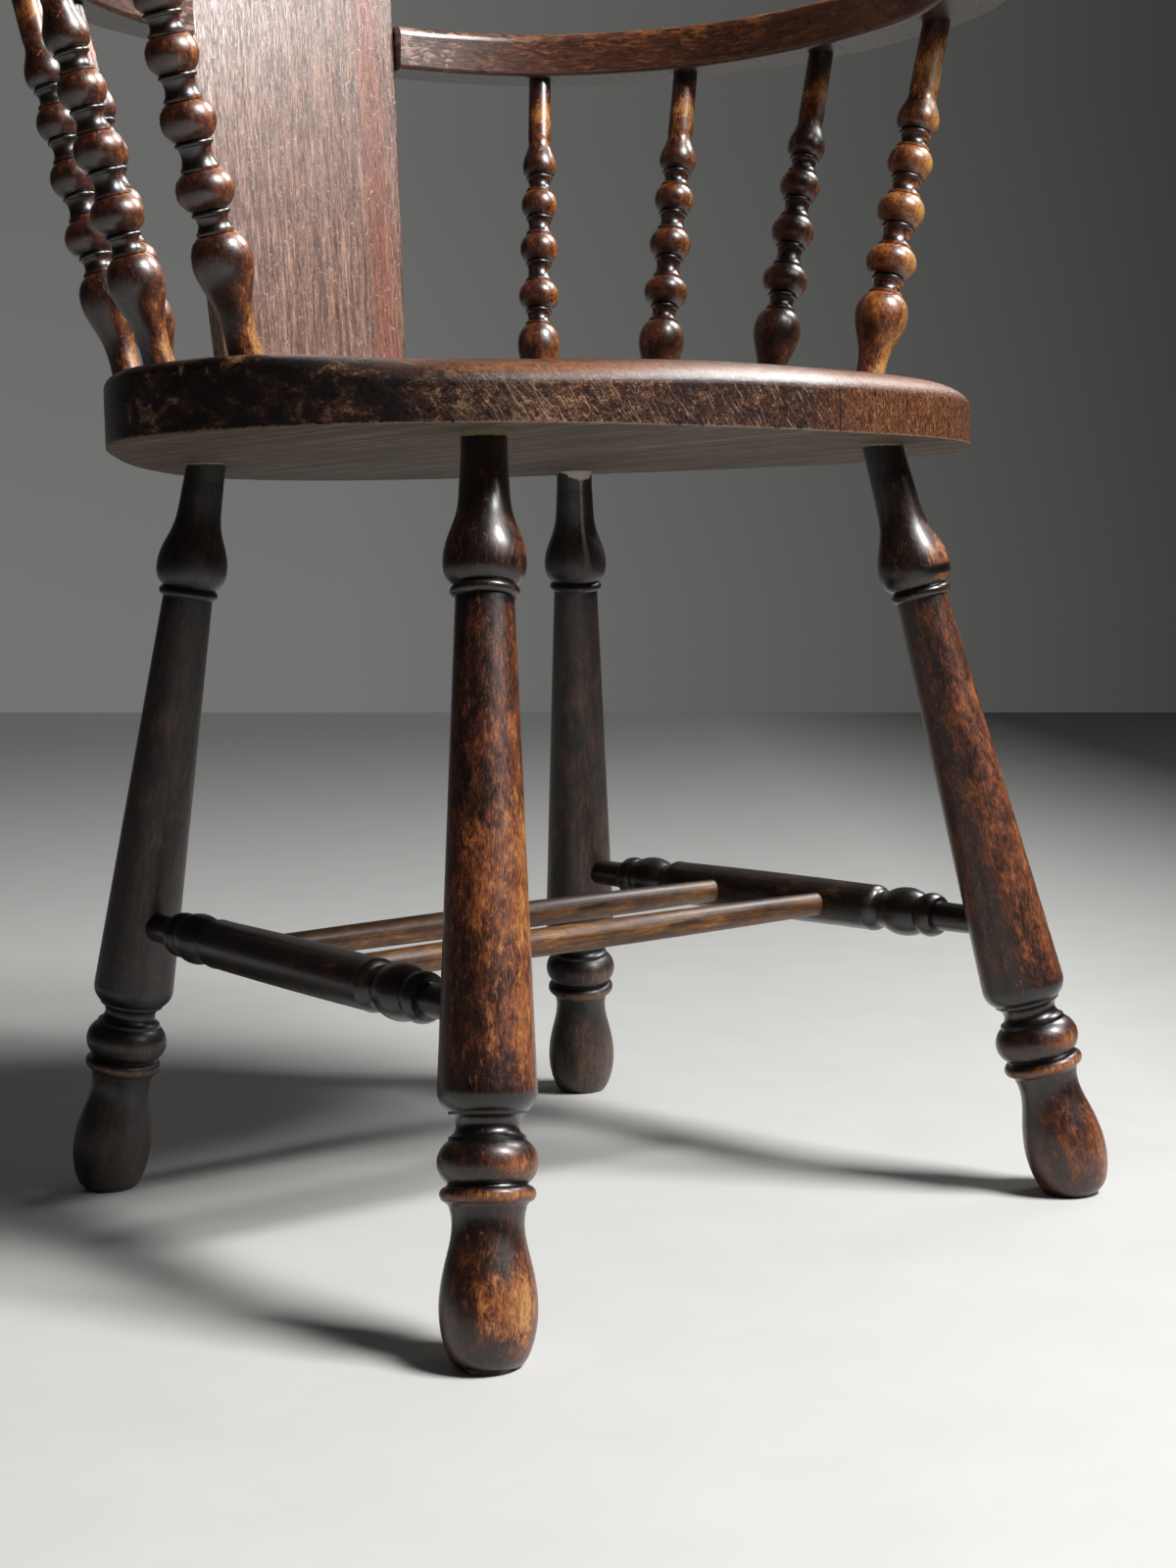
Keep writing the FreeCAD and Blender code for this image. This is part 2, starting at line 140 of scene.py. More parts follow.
to_the_right = node("MapRange", {"Value": axes["X"], "From Min": FRONT_RED_TO,
                                 "From Max": RIGHT_ORANGE_FROM}, interpolation_type="SMOOTHSTEP")
left_mottle = node("Math", {0: texture["fleck"], 1: 0.5, 2: texture["patch"]}, operation="MULTIPLY_ADD")
left_colour = node("ValToRGB", {0: left_mottle}, stops=LEFT_TONES)
front_mottle = node("Math", {0: texture["patch"], 1: 0.4, 2: texture["fleck"]}, operation="MULTIPLY_ADD")
tan_flecks = node("MapRange", {"Value": axes["X"], "From Min": NO_TAN_FROM, "From Max": TAN_FLECKS_TO,
                               "To Max": 0.045})
front_mottle = node("Math", {0: front_mottle, 1: tan_flecks}, operation="ADD")
front_colour = node("ValToRGB", {0: front_mottle}, stops=FRONT_TONES)
right_colour = node("ValToRGB", {0: texture["ripple"]}, stops=RIGHT_TONES)
edge = node("Mix", {"Factor": to_the_front, "A": left_colour, "B": front_colour}, data_type="RGBA")
edge = node("Mix", {"Factor": to_the_right, "A": edge, "B": right_colour}, data_type="RGBA")
# Straight scratches in three slants, each a noise drawn out along its slant and seen only above a limit.
SCRATCH_LENGTH = 14 * MM
SCRATCH_DEPTH = 30 * MM
scratches = 0.0
for slant, width_mm, limit in ((46, 0.8, 0.66), (60, 0.7, 0.64), (-38, 0.6, 0.78)):
    turned = node("Mapping", {"Vector": place["Object"], "Rotation": (0, radians(slant), 0)},
                  vector_type="TEXTURE")
    per_metre = (1 / SCRATCH_LENGTH, 1 / SCRATCH_DEPTH, 1 / (width_mm * MM))
    drawn = node("VectorMath", {0: turned, 1: per_metre}, operation="MULTIPLY")
    lines = node("TexNoise", {"Vector": drawn, "Scale": 1.0, "Detail": 1.0, "Distortion": 0.3})
    cut = node("MapRange", {"Value": lines, "From Min": limit, "From Max": limit + 0.05})
    scratches = node("Math", {0: scratches, 1: cut}, operation="MAXIMUM")
paler_wood = node("MapRange", {"Value": front_mottle, "From Min": 0.56, "From Max": 0.8, "To Max": 0.75})
fewer_right = node("MapRange", {"Value": to_the_right, "To Min": 1.0, "To Max": 0.3})
for share in (to_the_front, paler_wood, fewer_right):
    scratches = node("Math", {0: scratches, 1: share}, operation="MULTIPLY")
edge = node("Mix", {"Factor": scratches, "A": edge, "B": "#b09378"}, data_type="RGBA")
rim_reach = node("Math", {0: texture["fleck"], 1: 0.7, 2: upward}, operation="MULTIPLY_ADD")
rim = node("MapRange", {"Value": rim_reach, "From Min": 0.85, "From Max": 1.2})
rim = node("Math", {0: rim, 1: to_the_front}, operation="MULTIPLY")
rim_colour = node("ValToRGB", {0: texture["grain"]}, stops=RIM_TONES)
edge = node("Mix", {"Factor": rim, "A": edge, "B": rim_colour}, data_type="RGBA")
bitten = node("Math", {0: texture["fleck"], 1: -CHIP_BITE, 2: axes["Z"]}, operation="MULTIPLY_ADD")
chips = node("MapRange", {"Value": bitten, "From Min": CHIPS_BELOW, "From Max": ALL_CHIPPED_BELOW})
edge = node("Mix", {"Factor": chips, "A": edge, "B": "#6d5a49"}, data_type="RGBA")
top_colour = node("ValToRGB", {0: texture["streak"]}, stops=TOP_TONES)
flat_top = node("MapRange", {"Value": upward, "From Min": 0.93, "From Max": 0.99})
upper = node("Mix", {"Factor": flat_top, "A": edge, "B": top_colour}, data_type="RGBA")
bare_mottle = node("Mix", {"Factor": 0.4, "A": texture["streak"], "B": texture["patch"]})
bare_colour = node("ValToRGB", {0: bare_mottle}, stops=BARE_TONES)
underneath = node("MapRange", {"Value": upward, "From Min": -0.5, "From Max": -0.9})
whole = node("Mix", {"Factor": underneath, "A": upper, "B": bare_colour}, data_type="RGBA")
off_joint = node("Math", {0: axes["X"], 1: BOARD_JOINT_X}, operation="SUBTRACT")
off_joint = node("Math", {0: off_joint}, operation="ABSOLUTE")
crack = node("MapRange", {"Value": off_joint, "From Min": JOINT_CRACK_WIDTH / 2,
                          "From Max": JOINT_CRACK_WIDTH / 4})
colour = node("Mix", {"Factor": crack, "A": whole, "B": "#120a07"}, data_type="RGBA")
polished = node("MapRange", {"Value": texture["fleck"], "From Min": 0.3, "From Max": 0.7,
                             "To Min": 0.3, "To Max": 0.55})
roughness = node("Mix", {"Factor": underneath, "A": polished, "B": 0.75})
relief = node("Math", {0: scratches, 1: -0.8, 2: texture["fleck"]}, operation="MULTIPLY_ADD")
relief = node("Math", {0: texture["pore"], 1: 0.6, 2: relief}, operation="MULTIPLY_ADD")
normal = node("Bump", {"Height": relief, "Strength": 0.5, "Distance": 0.4 * MM})
gloss = node("MapRange", {"Value": axes["X"], "From Min": MATTE_TO, "From Max": GLOSS_FROM},
             interpolation_type="SMOOTHSTEP")
dulled = node("MapRange", {"Value": axes["X"], "From Min": GLOSS_TO, "From Max": DULL_FROM,
                           "To Min": 1.0, "To Max": 0.15})
on_the_roll = node("MapRange", {"Value": upward, "From Min": 0.0, "From Max": 0.35, "To Min": 0.1})
for share in (dulled, on_the_roll):
    gloss = node("Math", {0: gloss, 1: share}, operation="MULTIPLY")
rippled = node("Bump", {"Height": texture["ripple"], "Strength": 0.8, "Distance": 0.5 * MM,
                        "Normal": normal})
connect(shader, base_color=colour, roughness=roughness, normal=normal, coat_weight=gloss,
        coat_normal=rippled)
for board in ("seat_board_left", "seat_board_right"):
    dress(board, seat_oak)

# Legs: four oak turnings, splayed outwards, tenoned and glued into the underside of the seat. Each has a
# bulb foot, a ring and a roll between coves, a tapered shaft and a collar under a vase-shaped top.
LEG_LINES = {
    "leg_front_left": (Vector((-206.1, -227.8, 0)), Vector((-136.9, -152.0, 416))),
    "leg_front_right": (Vector((206.1, -227.8, 0)), Vector((136.9, -152.0, 416))),
    "leg_rear_left": (Vector((-180.8, 173.3, 0)), Vector((-133.7, 109.1, 416))),
    "leg_rear_right": (Vector((180.8, 173.3, 0)), Vector((133.7, 109.1, 416))),
}
# How far the stain is worn off, by millimetres up the leg: 0 is near black, as in a groove, 1 is bare wood.
# The rows are the foot, the ring, the roll, the cove, the shaft, the collar and the vase.
LEG_WEAR = [
    (0, 0.38), (6, 0.46), (24, 0.56), (44, 0.5), (58, 0.38), (68, 0.22),
    (71, 0.5), (75, 0.8), (77, 0.5), (79, 0.0),
    (82, 0.38), (89, 0.62), (96, 0.38), (99, 0.0),
    (103, 0.12), (112, 0.14), (116, 0.0),
    (119, 0.22), (123, 0.4), (130, 0.5), (200, 0.55), (260, 0.53), (330, 0.5), (343, 0.42),
    (346, 0.0), (350, 0.34), (353, 0.1), (355, 0.0),
    (358, 0.24), (368, 0.42), (382, 0.24), (416, 0.12),
]
# Under the seat, old glue has a ragged lower edge. The crack below a chip fades out down the leg, between
# these heights.
OLD_GLUE = "#8c8164"
CHIPPED_WOOD = "#b5ad9f"
CRACKED_WOOD = "#a39b92"
GLUE_RAGGED_MM = 2
GLUE_EDGE = 0.4 * MM
CRACK_FROM = 0.84 * SEAT_UNDERSIDE
ALL_CRACK_FROM = 0.9 * SEAT_UNDERSIDE


def hair_scratches(node, waves, level, outside, inside, gaps, gaps_from, strength=1.0):
    """Hair-fine curved scratches along one level of a broad noise, broken up by a finer noise.

    A scratch is full where the broad noise is within inside of that level, and gone past outside.
    """
    off_line = node("Math", {0: waves, 1: level}, operation="SUBTRACT")
    off_line = node("Math", {0: off_line}, operation="ABSOLUTE")
    hair = node("MapRange", {"Value": off_line, "From Min": outside, "From Max": inside})
    broken = node("MapRange", {"Value": gaps, "From Min": gaps_from, "From Max": gaps_from + 0.08,
                               "To Max": strength})
    return node("Math", {0: hair, 1: broken}, operation="MULTIPLY")


def turned_oak(name, line, wear, tones, side, side_wear_and_light, polish, fine_mm=(0.8, 3.2), blotch_mm=(3.4, 7),
               wear_more=0.0, scratched=0.5, spots=(), glue_mm=0, chip_side=(1, 0, 0), chip_mm=0):
    """Stained oak, turned about a line in millimetres: worn by height and in spots, and lighter on one
    side, partly as wear and partly as painted light.

    The polish is the weight and roughness of its coat, and the roughness of stained and of bare wood. Fine
    grain and blotches have a size across and along. A spot is a place in millimetres from the foot, with Z
    up the line, its radius and how much more worn it is. Old glue, or a chip with a crack below it, may
    show under the seat: how far down each reaches, and the side that the chip is on.
    """
    material, shader, node = blank_finish(name)
    coat, coat_roughness, stained_roughness, bare_roughness = polish
    shader.inputs["Coat Weight"].default_value = coat
    shader.inputs["Coat Roughness"].default_value = coat_roughness
    foot, head = (end * MM for end in line)
    length = (head - foot).length
    turn = Vector((0, 0, 1)).rotation_difference(head - foot).to_euler()
    place = node("TexCoord").node.outputs["Object"]
    lathe = node("Mapping", {"Vector": place, "Location": foot, "Rotation": turn}, vector_type="TEXTURE")
    up = node("SeparateXYZ", {0: lathe}).node.outputs["Z"]
    share = node("Math", {0: up, 1: length}, operation="DIVIDE")
    worn = node("ValToRGB", {0: share}, stops=[(mm * MM / length, amount) for mm, amount in wear])
    spoke = node("VectorMath", {0: lathe, 1: (1, 1, 0)}, operation="MULTIPLY")
    spoke = node("VectorMath", {0: spoke}, operation="NORMALIZE")
    facing = node("VectorMath", {0: spoke, 1: Vector(side).normalized()}, operation="DOT_PRODUCT")
    texture = grain_layers(node, lathe, [
        (layer, (across, across, along), detail, rough, twist)
        for layer, (across, along), detail, rough, twist in (
            ("fine", fine_mm, 4, 0.7, 0.5),
            ("blotch", blotch_mm, 6, 0.75, 0.7),
            ("patch", (9, 20), 3, 0.6, 0.6),
            ("pore", (0.42, 5.5), 1, 0.5, 0.15),
            ("cut", (5, 34), 2, 0.5, 0.6),
            ("nick", (6, 11), 1, 0.5, 1.0),
            ("mask", (1.6, 5), 2, 0.6, 0.0))])
    scratches = 0.0
    for layer, level, gaps_from in (("cut", 0.5, 0.48), ("nick", 0.46, 0.56)):
        hairs = hair_scratches(node, texture[layer], level, outside=0.009, inside=0.003,
                               gaps=texture["mask"], gaps_from=gaps_from)
        scratches = node("Math", {0: scratches, 1: hairs}, operation="MAXIMUM")
    # One side is made lighter: partly wear, partly painted light.
    rubbed_and_lit_side = node("MapRange", {"Value": facing, "From Min": -0.6, "From Max": 0.9,
                                    "To Min": wear_more - side_wear_and_light, "To Max": wear_more + side_wear_and_light},
                       interpolation_type="SMOOTHSTEP")
    amount = node("Math", {0: worn, 1: rubbed_and_lit_side}, operation="ADD")
    for layer, gain in (("patch", 0.8), ("blotch", 1.0), ("fine", 0.8)):
        centred = node("Math", {0: texture[layer], 1: 0.5}, operation="SUBTRACT")
        amount = node("Math", {0: centred, 1: gain, 2: amount}, operation="MULTIPLY_ADD")
    for spot, radius_mm, gain in spots:
        radius = radius_mm * MM
        reach = node("VectorMath", {0: lathe, 1: Vector(spot) * MM}, operation="DISTANCE")
        ragged = node("Math", {0: texture["blotch"], 1: -1.8 * radius, 2: reach}, operation="MULTIPLY_ADD")
        bare = node("MapRange", {"Value": ragged, "From Min": 0.15 * radius, "From Max": -0.25 * radius,
                                 "To Max": gain})
        amount = node("Math", {0: amount, 1: bare}, operation="ADD")
    open_face = node("MapRange", {"Value": worn, "From Min": 0.02, "From Max": 0.2})
    amount = node("Math", {0: amount, 1: open_face}, operation="MULTIPLY")
    colour = node("ValToRGB", {0: amount}, stops=tones)
    pores = node("MapRange", {"Value": texture["pore"], "From Min": 0.54, "From Max": 0.64, "To Max": 0.6})
    dark_tone = tones[1][1]
    colour = node("Mix", {"Factor": pores, "A": colour, "B": dark_tone}, data_type="RGBA")
    pale = node("Math", {0: scratches, 1: scratched}, operation="MULTIPLY")
    pale = node("Math", {0: pale, 1: open_face}, operation="MULTIPLY")
    pale_tone = tones[-2][1]
    colour = node("Mix", {"Factor": pale, "A": colour, "B": pale_tone}, data_type="RGBA")
    if glue_mm:
        height = node("SeparateXYZ", {0: place}).node.outputs["Z"]
        depth = glue_mm * MM
        if chip_mm:
            chip_facing = node("VectorMath", {0: spoke, 1: Vector(chip_side).normalized()},
                               operation="DOT_PRODUCT")
            depth = node("MapRange", {"Value": chip_facing, "From Min": 0.55, "From Max": 1.0,
                                      "To Min": glue_mm * MM, "To Max": (glue_mm + chip_mm) * MM})
            crack = node("MapRange", {"Value": chip_facing, "From Min": 0.9935, "From Max": 0.999})
            near_seat = node("MapRange", {"Value": height, "From Min": CRACK_FROM,
                                          "From Max": ALL_CRACK_FROM})
            for limit in (near_seat, texture["mask"]):
                crack = node("Math", {0: crack, 1: limit}, operation="MULTIPLY")
            colour = node("Mix", {"Factor": crack, "A": colour, "B": CRACKED_WOOD}, data_type="RGBA")
        ragged = (GLUE_RAGGED_MM + chip_mm) * MM
        lowest = SEAT_UNDERSIDE + ragged / 2 - GLUE_EDGE / 2
        above = node("Math", {0: height, 1: depth}, operation="ADD")
        above = node("Math", {0: texture["blotch"], 1: ragged, 2: above}, operation="MULTIPLY_ADD")
        shown = node("MapRange", {"Value": above, "From Min": lowest, "From Max": lowest + GLUE_EDGE})
        colour = node("Mix", {"Factor": shown, "A": colour, "B": CHIPPED_WOOD if chip_mm else OLD_GLUE},
                      data_type="RGBA")
    roughness = node("MapRange", {"Value": amount, "From Min": 0.2, "From Max": 0.8,
                                  "To Min": stained_roughness, "To Max": bare_roughness})
    relief = node("Math", {0: texture["pore"], 1: -0.5, 2: texture["fine"]}, operation="MULTIPLY_ADD")
    relief = node("Math", {0: scratches, 1: -0.4, 2: relief}, operation="MULTIPLY_ADD")
    normal = node("Bump", {"Height": relief, "Strength": 0.4, "Distance": 0.2 * MM})
    connect(shader, base_color=colour, roughness=roughness, normal=normal)
    return material


# Dark stained oak with satin wax: near-black in the grooves, red-brown on the shafts, and rubbed through to
# rust and orange in ragged blotches towards the front, where shoes rub. The rear legs keep more of their
# stain and look greyer.
LEG_TONES = [(0.0, "#060303"), (0.2, "#140906"), (0.38, "#28130b"), (0.52, "#46210f"), (0.66, "#6f3818"),
             (0.82, "#985827"), (1.0, "#be8a4c")]
REAR_TONES = [(0.0, "#060404"), (0.2, "#0f0808"), (0.42, "#231715"), (0.6, "#47332b"), (0.78, "#6e4d38"),
              (1.0, "#8f6c4a")]
LEG_POLISH = (0.35, 0.18, 0.32, 0.52)
REAR_POLISH = (0.3, 0.3, 0.4, 0.55)
FOOT_BARE = ((-3, -21, 27), 16, 0.24)
SHAFT_RUBBED = ((6, -17, 215), 40, 0.14)
SHAFT_RUBBED_LOW = ((8, -16, 150), 26, 0.12)
VASE_RUBBED = ((5, -18, 358), 15, 0.34)
# Every leg is lighter on its side towards the front and the right: partly wear, partly painted light.
front_left_oak = turned_oak("worn_stained_oak_front_leg_left", LEG_LINES["leg_front_left"], LEG_WEAR,
                            LEG_TONES, side=(0.9, -0.5, 0), side_wear_and_light=0.12, polish=LEG_POLISH,
                            spots=(FOOT_BARE, SHAFT_RUBBED, SHAFT_RUBBED_LOW), glue_mm=3)
dress("leg_front_left", front_left_oak)
front_right_oak = turned_oak("worn_stained_oak_front_leg_right", LEG_LINES["leg_front_right"], LEG_WEAR,
                             LEG_TONES, side=(1, -0.6, 0), side_wear_and_light=0.1, polish=LEG_POLISH,
                             wear_more=0.02, spots=(VASE_RUBBED,), glue_mm=1)
dress("leg_front_right", front_right_oak)
for leg, wear_more, chip_mm in (("leg_rear_left", -0.12, 0), ("leg_rear_right", 0.02, 5)):
    rear_oak = turned_oak("stained_oak_" + leg, LEG_LINES[leg], LEG_WEAR, REAR_TONES, side=(0.6, -1, 0),
                          side_wear_and_light=0.08, polish=REAR_POLISH, fine_mm=(0.8, 9), blotch_mm=(3.0, 26),
                          wear_more=wear_more, glue_mm=1, chip_side=(-0.3, -1, 0), chip_mm=chip_mm)
    dress(leg, rear_oak)

# Side stretchers: an oak turning on each side, tenoned into the front and rear leg, with a roll and rings
# near each end. They keep their near-black stain, apart from fine scratches and scuffs.
STRETCHER_HEIGHT = {"rear": 155, "front": 150.5}


def point_on_leg(leg, height):
    """The point on a leg's axis at a height above the floor, in millimetres."""
    foot, head = LEG_LINES[leg]
    return foot.lerp(head, height / head.z)


STRETCHER_LINES = {}
for side in ("left", "right"):
    STRETCHER_LINES[side] = (point_on_leg("leg_rear_" + side, STRETCHER_HEIGHT["rear"]),
                             point_on_leg("leg_front_" + side, STRETCHER_HEIGHT["front"]))
# Near-black stained oak, waxed: a satin gloss along the top, brown scuffs on the swell.
STRETCHER_TONES = [(0.0, "#060403"), (0.25, "#100a08"), (0.5, "#20130e"), (0.7, "#4a2a17"),
                   (0.9, "#7d4d26")]
STRETCHER_WEAR = [(0, 0.2), (60, 0.25), (120, 0.36), (190, 0.42), (270, 0.36), (350, 0.22)]
STRETCHER_POLISH = (0.4, 0.16, 0.3, 0.5)
# Each stretcher is a little lighter along its top: partly wear, partly painted light.
for side in ("left", "right"):
    stretcher_oak = turned_oak("black_stained_oak_" + side, STRETCHER_LINES[side], STRETCHER_WEAR,
                               STRETCHER_TONES, side=(0, 1, 0), side_wear_and_light=0.06, polish=STRETCHER_POLISH)
    dress("side_stretcher_" + side, stretcher_oak)

# Cross stretchers: two plain, slightly tapered oak rods between the side stretchers, a little askew.
# Their polish is thin, so the brown wood and its dark grain show.
# How far along the left and the right side stretcher each rod meets it, in millimetres from the rear leg.
ROD_PLACES = {"rear": (125, 136), "front": (208, 221.5)}
# Mid-brown oak, rubbed and thinly polished: long dark grain lines on golden brown.
ROD_TONES = [(0.0, "#120a06"), (0.3, "#2c190a"), (0.5, "#5c3816"), (0.7, "#875722"), (0.9, "#aa7d3e")]
ROD_WEAR = [(0, 0.4), (150, 0.48), (320, 0.42)]
ROD_POLISH = (0.08, 0.2, 0.42, 0.55)
# Each rod is a little lighter on its front: partly wear, partly painted light.
for rod, (along_left, along_right) in ROD_PLACES.items():
    ends = []
    for side, along in (("left", along_left), ("right", along_right)):
        rear, front = STRETCHER_LINES[side]
        ends.append(rear + (front - rear).normalized() * along)
    rod_oak = turned_oak("rubbed_oak_rod_" + rod, ends, ROD_WEAR, ROD_TONES, side=(0, -1, 0),
                         side_wear_and_light=0.08, polish=ROD_POLISH, fine_mm=(0.9, 40), blotch_mm=(4, 60),
                         scratched=0.2)
    dress("cross_stretcher_" + rod, rod_oak)

# Splat: a flat oak plank, sawn to shape, housed in the seat behind the dish and in the back of the arm bow.
# It is one board with its grain upright and a redder band of wood near its right edge, which is dark.
SPLAT_RECLINE = radians(4.2)
SPLAT_FOOT = Vector((0, 192.4, 450)) * MM
# Where the red band and the dark edge begin and end, from the middle of the plank to the right. The grain
# makes them wander by up to this much.
BAND_WANDER = 10 * MM
RED_FROM = 46 * MM
ALL_RED_FROM = 55 * MM
ALL_RED_TO = 61 * MM
RED_TO = 74 * MM
DARK_FROM = 75 * MM
ALL_DARK_FROM = 85 * MM
SPLAT_TONES = [(0.58, "#573629"), (0.75, "#8f6654"), (0.92, "#bd947e")]
# Stained oak plank under a glossy polish that follows the open pores: pinkish brown with dark pores and a
# few pale scratches.
splat_oak, shader, node = blank_finish("open_pored_stained_oak_plank")
shader.inputs["Coat Weight"].default_value = 1.0
shader.inputs["Coat IOR"].default_value = 2.0
shader.inputs["Coat Roughness"].default_value = 0.2
place = node("TexCoord").node.outputs
plank = node("Mapping", {"Vector": place["Object"], "Location": SPLAT_FOOT,
                         "Rotation": (-SPLAT_RECLINE, 0, 0)}, vector_type="TEXTURE")
across = node("SeparateXYZ", {0: plank}).node.outputs["X"]
texture = grain_layers(node, plank, (
    ("grain", (3.0, 3.0, 60), 5, 0.65, 0.6),
    ("pore", (0.6, 0.6, 9), 2, 0.6, 0.5),
    ("patch", (30, 30, 70), 3, 0.55, 0.4),
    ("fleck", (1.6, 1.6, 2.4), 4, 0.7, 1.0),
    ("cut", (9, 9, 13), 2, 0.5, 1.2),
    ("mask", (3, 3, 4), 2, 0.6, 0.0)))
wood_tone = node("Math", {0: texture["fleck"], 1: 0.5, 2: texture["grain"]}, operation="MULTIPLY_ADD")
wood = node("ValToRGB", {0: wood_tone}, stops=SPLAT_TONES)
band_place = node("Math", {0: texture["grain"], 1: BAND_WANDER, 2: across}, operation="MULTIPLY_ADD")
red = 0.7
for faint, full in ((RED_FROM, ALL_RED_FROM), (RED_TO, ALL_RED_TO)):
    side_of_band = node("MapRange", {"Value": band_place, "From Min": faint, "From Max": full},
                        interpolation_type="SMOOTHSTEP")
    red = node("Math", {0: red, 1: side_of_band}, operation="MULTIPLY")
wood = node("Mix", {"Factor": red, "A": wood, "B": "#994f31"}, data_type="RGBA")
dark_edge = node("MapRange", {"Value": band_place, "From Min": DARK_FROM, "From Max": ALL_DARK_FROM,
                              "To Max": 0.75})
wood = node("Mix", {"Factor": dark_edge, "A": wood, "B": "#35241f"}, data_type="RGBA")
pores = node("MapRange", {"Value": texture["pore"], "From Min": 0.47, "From Max": 0.6})
dark_pores = node("Math", {0: pores, 1: 0.7}, operation="MULTIPLY")
colour = node("Mix", {"Factor": dark_pores, "A": wood, "B": "#2f1b15"}, data_type="RGBA")
scratches = hair_scratches(node, texture["cut"], 0.5, outside=0.016, inside=0.006, gaps=texture["mask"],
                           gaps_from=0.52, strength=0.7)
colour = node("Mix", {"Factor": scratches, "A": colour, "B": "#cdb09c"}, data_type="RGBA")
roughness = node("MapRange", {"Value": texture["patch"], "From Min": 0.3, "From Max": 0.7,
                              "To Min": 0.34, "To Max": 0.46})
relief = node("Math", {0: pores, 1: -1.0, 2: texture["grain"]}, operation="MULTIPLY_ADD")
normal = node("Bump", {"Height": relief, "Strength": 0.35, "Distance": 0.25 * MM})
connect(shader, base_color=colour, roughness=roughness, normal=normal, coat_normal=normal)
dress("back_splat", splat_oak)

# Arm spindles: four oak bobbin turnings on each side, tenoned into the seat and the arm bow, and leaning
# outwards. Each has a vase at its foot, round beads between dark necks, a half bead and a plain shaft.
SPINDLE_FOOT_Z = 450
SPINDLE_HEAD_Z = 677
# The foot and the head of each, from the back to the front, in millimetres.
SPINDLE_PLACES = {
    "left": (((-133.7, 144.4), (-169.8, 178.7)), ((-195.5, 77.2), (-231.1, 119.0)),
             ((-209.2, 18.5), (-268.0, 27.4)), ((-207.6, -60.1), (-274.2, -76.0))),
    "right": (((133.7, 144.4), (169.8, 178.7)), ((191.2, 96.0), (236.7, 109.3)),
              ((210.9, 14.8), (271.9, 20.1)), ((213.0, -69.2), (272.6, -75.7))),
}
# Red-brown stained oak under a hard gloss polish: dark necks, beads mottled with gold where hands have
# rubbed them. The rows of wear are the vase, the three beads with the neck below each, and the half bead
# with the shaft.
SPINDLE_TONES = [(0.0, "#070403"), (0.2, "#170906"), (0.42, "#3a190d"), (0.58, "#6a3416"),
                 (0.74, "#9d5b24"), (0.92, "#c98e4c")]
SPINDLE_WEAR = [
    (0, 0.5), (18, 0.44), (40, 0.36), (54, 0.42), (65, 0.46),
    (67, 0.0), (70, 0.26), (76, 0.12), (78, 0.38), (85, 0.44), (94, 0.54),
    (96, 0.0), (100, 0.26), (107, 0.12), (109, 0.38), (117, 0.44), (126, 0.54),
    (128, 0.0), (131, 0.26), (137, 0.12), (139, 0.38), (147, 0.44), (155, 0.54),
    (157, 0.0), (161, 0.26), (166, 0.12), (168, 0.38), (174, 0.44), (186, 0.26), (228, 0.16),
]
SPINDLE_POLISH = (0.8, 0.26, 0.3, 0.45)
# How much more each spindle is rubbed, from the back to the front, and the spots that are worn bare.
SPINDLE_RUBBED = {"left": (0.02, 0.04, 0.04, 0.06), "right": (0.14, 0.16, 0.1, 0.34)}
SPINDLE_FOOT_BARE = ((7, -6, 15), 15, 0.2)
SPINDLE_HEAD_BARE = ((-8, -10, 198), 17, 0.32)
SPINDLE_HEAD_BARE_HIGH = ((-8, -10, 213), 16, 0.32)
# Every spindle is lighter on its right-hand side: partly wear, partly painted light.
for side, places in SPINDLE_PLACES.items():
    for number, (foot, head) in enumerate(places, start=1):
        ends = Vector((*foot, SPINDLE_FOOT_Z)), Vector((*head, SPINDLE_HEAD_Z))
        spindle_oak = turned_oak("gloss_polished_oak_spindle_%s_%d" % (side, number), ends, SPINDLE_WEAR,
                                 SPINDLE_TONES, side=(0.95, -0.3, 0), side_wear_and_light=0.16,
                                 polish=SPINDLE_POLISH, fine_mm=(0.7, 1.8), blotch_mm=(3.0, 4.5),
                                 wear_more=SPINDLE_RUBBED[side][number - 1],
                                 spots=(SPINDLE_FOOT_BARE, SPINDLE_HEAD_BARE, SPINDLE_HEAD_BARE_HIGH))
        dress("arm_spindle_%s_%d" % (side, number), spindle_oak)

# Arm bow: two sawn oak halves that lap behind the splat, bored for the spindles, with rounded edges.
# The stain is dark, rubbed to orange in blotches, most of all on top, and chipped pinkish beside the splat.
BOW_RADIUS = 250 * MM
# The chips are to either side of the splat, this far from the middle, and only in the back of the bow.
NO_CHIPS_FROM = 150 * MM
MOST_CHIPS_TO = 85 * MM
BACK_FROM = 120 * MM
ALL_BACK_FROM = 160 * MM
ARM_TONES = [(0.54, "#2c150c"), (0.75, "#4a2515"), (0.9, "#673820"), (1.0, "#8f5d3a")]
